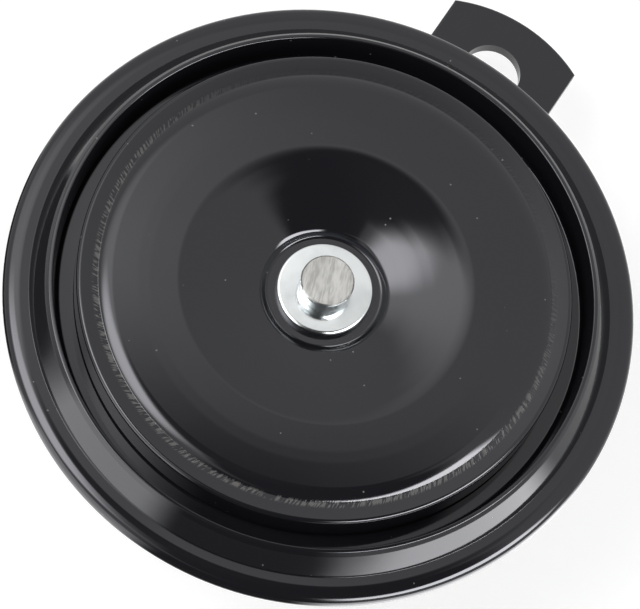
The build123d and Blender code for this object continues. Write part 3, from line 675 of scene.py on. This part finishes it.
place = Vector(view["aim"]) * mm + offset * view["rim"] * mm
cameraData = bpy.data.cameras.new("camera")
camera = bpy.data.objects.new("camera", cameraData)
bpy.context.scene.collection.objects.link(camera)
cameraData.lens = view["lens"]
cameraData.sensor_width = view["sensor"]
cameraData.sensor_fit = "HORIZONTAL"
cameraData.clip_start = view["nearest"]
turn = Matrix((right, up, back)).transposed().to_4x4()
turn.translation = place
camera.matrix_world = turn
bpy.context.scene.camera = camera
bpy.context.scene.view_settings.view_transform = "Standard"

# floor, world and lamps
pickNothing()
underStud = cadBox[0][2] - 0.00005
bpy.ops.mesh.primitive_plane_add(size=6, location=(0, -0.06, underStud))
floor = bpy.context.object
floor.name = "floor"
bpy.ops.object.transform_apply(location=True)

studio = {
    "roundAbout": 0.42,  # what dull surfaces get from the room
    "floorGlow": 0.72,
    "floorTones": ((0.34, 0.34, 0.34, 1), (0.38, 0.38, 0.38, 1)),
    "floorInShade": (0.02, 0.02, 0.02, 1),
    "floorClear": (0.06, 0.1),  # the stand's painted shadow and the painted left glow on the floor start outside the horn
    "shadeShare": 0.95,
    "ceilingGap": {"azimuth": 128, "height": 70, "inner": 18, "outer": 25},
    "overhead": {"azimuth": 346, "height": 89, "inner": 12, "outer": 21},
    "glow": {"azimuth": 268, "height": 66, "inner": 8, "outer": 32, "strength": 1.9},
    "leftBox": {"azimuth": 244, "height": 58, "inner": 8, "outer": 21, "strength": 5.2},
    "standing": {"turn": 17, "half": 26, "soft": 8, "top": 60},  # the dark stand that the camera is on; on the floor it is a painted shadow, seen in the gloss
    "rightBox": {"turn": 74, "half": 29, "soft": 6, "low": 31, "high": 53, "fade": 2, "strength": 15.0},
    # a lit wall: light in the world, and a painted glow on the floor
    "leftWall": {"turn": -28, "half": 20, "soft": 6, "top": 34, "strength": 2.4},
    # the horn's own shadow, painted into the floor as seen in the gloss
    "leftShade": {"turn": -76, "half": 22, "soft": 3, "far": 0.2, "fade": 0.03},
    # a painted pool of light on the floor, seen in the gloss
    "paintedLightPool": {
        "turn": 66, "half": 31, "soft": 6, "strength": 6.0,
        "near": (0.06, 0.08), "far": (0.4, 0.3),  # its painted glow on the floor rises and falls between these
    },
}
lamps = [
    {"name": "softboxLeft", "azimuth": 240, "height": 57, "away": 1.2, "size": (0.66, 0.66), "radiance": 6.0},
    {"name": "softboxRight", "azimuth": 101, "height": 42, "away": 1.2, "size": (1.3, 0.36), "radiance": 4.0},
]


def towards(azimuth, height):
    # azimuth 0 is +Y and 90 is +X
    turned, raised = radians(azimuth), radians(height)
    return Vector((sin(turned) * cos(raised), cos(turned) * cos(raised), sin(raised)))


def backdropSwitch(tree):
    path = tree.nodes.new("ShaderNodeLightPath").outputs
    seen = larger(tree, path["Is Camera Ray"], path["Is Transmission Ray"])
    return seen, path["Is Glossy Ray"]


def patch(tree, direction, spot):
    # a round soft patch in the sky
    aim = tuple(towards(spot["azimuth"], spot["height"]))
    facing = addNode(tree, "ShaderNodeVectorMath", {"operation": "DOT_PRODUCT"}, i0=direction, i1=aim)
    return ramp(tree, facing.outputs["Value"], cos(radians(spot["outer"])), cos(radians(spot["inner"])))


def sector(tree, turn, spot):
    # turn is measured from -Y towards +X
    away = maths(tree, "ABSOLUTE", minus(tree, turn, radians(spot["turn"])))
    return ramp(tree, away, radians(spot["half"] + spot["soft"]), radians(spot["half"] - spot["soft"]))


# the floor glows evenly to the camera; for glossy rays its colour and glow carry painted light and shade
floorMaterial, tree, shader, place = newMaterial("paleFloor", Roughness=0.9)
uneven = useGroup(tree, mottle, Vector=place, Scale=8.0, Grain_Scale=400.0)
floorColour = blendColour(tree, uneven["Grain"], *studio["floorTones"])
shader.inputs["Emission Color"].default_value = (1, 1, 1, 1)
seen, mirrored = backdropSwitch(tree)
around = useGroup(tree, aboutTheAxis, Vector=place)
beyond = ramp(tree, around["Radius"], *studio["floorClear"])
wall, shadowSpot, lightPool = studio["leftWall"], studio["leftShade"], studio["paintedLightPool"]
standShade = times(tree, sector(tree, around["Angle"], studio["standing"]), beyond)
nearby = ramp(tree, around["Radius"], shadowSpot["far"] + shadowSpot["fade"], shadowSpot["far"])
paintedHornShadow = times(tree, sector(tree, around["Angle"], shadowSpot), nearby)
# painted shade: the stand's and the horn's shadows darken the floor's glow and, for glossy rays, its colour
lit = minus(tree, studio["floorGlow"], times(tree, standShade, studio["floorGlow"]))
lit = times(tree, lit, minus(tree, 1.0, paintedHornShadow))
paintedShade = times(tree, larger(tree, paintedHornShadow, standShade), mirrored)
floorColour = blendColour(tree, paintedShade, floorColour, studio["floorInShade"])
tree.links.new(floorColour, shader.inputs["Base Color"])
# painted glows on the floor, for glossy rays only
paintedLeftGlow = times(tree, times(tree, sector(tree, around["Angle"], wall), beyond), wall["strength"])
reach = times(tree, ramp(tree, around["Radius"], *lightPool["near"]), ramp(tree, around["Radius"], *lightPool["far"]))
paintedRightGlow = times(tree, times(tree, sector(tree, around["Angle"], lightPool), reach), lightPool["strength"])
lit = times(tree, plus(tree, plus(tree, lit, paintedLeftGlow), paintedRightGlow), mirrored)
lit = plus(tree, lit, times(tree, seen, studio["floorGlow"]))
tree.links.new(lit, shader.inputs["Emission Strength"])
dress(floor, floorMaterial)

world = bpy.data.worlds.new("studio")
bpy.context.scene.world = world
world.use_nodes = True
tree = world.node_tree
tree.nodes.clear()
seen, mirrored = backdropSwitch(tree)
direction = tree.nodes.new("ShaderNodeTexCoord").outputs["Generated"]
parts = addNode(tree, "ShaderNodeSeparateXYZ", None, Vector=direction).outputs
turn = maths(tree, "ARCTAN2", parts[0], times(tree, parts[1], -1.0))


def below(spot):
    top, fade = radians(spot["top"]), 0.12
    return ramp(tree, parts[2], sin(top + fade), sin(top - fade))


def atHeight(degrees, fade):
    return ramp(tree, parts[2], sin(radians(degrees - fade)), sin(radians(degrees + fade)))


def patchShine(spot):
    return times(tree, patch(tree, direction, spot), spot["strength"])


shade = larger(tree, patch(tree, direction, studio["ceilingGap"]), patch(tree, direction, studio["overhead"]))
standShade = times(tree, sector(tree, turn, studio["standing"]), below(studio["standing"]))
shade = larger(tree, shade, standShade)
shine = plus(tree, 1.0, patchShine(studio["glow"]))
shine = plus(tree, shine, patchShine(studio["leftBox"]))
box = studio["rightBox"]
raised = times(tree, atHeight(box["low"], box["fade"]), atHeight(box["high"], -box["fade"]))
raised = times(tree, raised, sector(tree, turn, box))
shine = plus(tree, shine, times(tree, raised, box["strength"]))
shine = times(tree, shine, minus(tree, 1.0, times(tree, shade, studio["shadeShare"])))
glowing = times(tree, sector(tree, turn, wall), below(wall))
shine = plus(tree, shine, times(tree, glowing, wall["strength"]))
either = {"data_type": "FLOAT"}
level = addNode(tree, "ShaderNodeMix", either, i0=mirrored, i2=studio["roundAbout"], i3=shine).outputs[0]
level = addNode(tree, "ShaderNodeMix", either, i0=seen, i2=level, i3=1.0).outputs[0]
backdrop = addNode(tree, "ShaderNodeBackground", None, Color=(1, 1, 1, 1), Strength=level)
worldOut = tree.nodes.new("ShaderNodeOutputWorld")
tree.links.new(backdrop.outputs[0], worldOut.inputs[0])

for lamp in lamps:
    light = bpy.data.lights.new(lamp["name"], "AREA")
    light.shape = "RECTANGLE"
    light.size, light.size_y = lamp["size"]
    light.energy = lamp["radiance"] * lamp["size"][0] * lamp["size"][1] * pi
    holder = bpy.data.objects.new(lamp["name"], light)
    bpy.context.scene.collection.objects.link(holder)
    aim = towards(lamp["azimuth"], lamp["height"])
    holder.location = hornAxis + Vector((0, 0, 0.025)) + aim * lamp["away"]
    holder.rotation_euler = aim.to_track_quat("Z", "Y").to_euler()
    holder.visible_glossy = False  # its glow in the gloss comes from the world, with softer edges

print("lit")
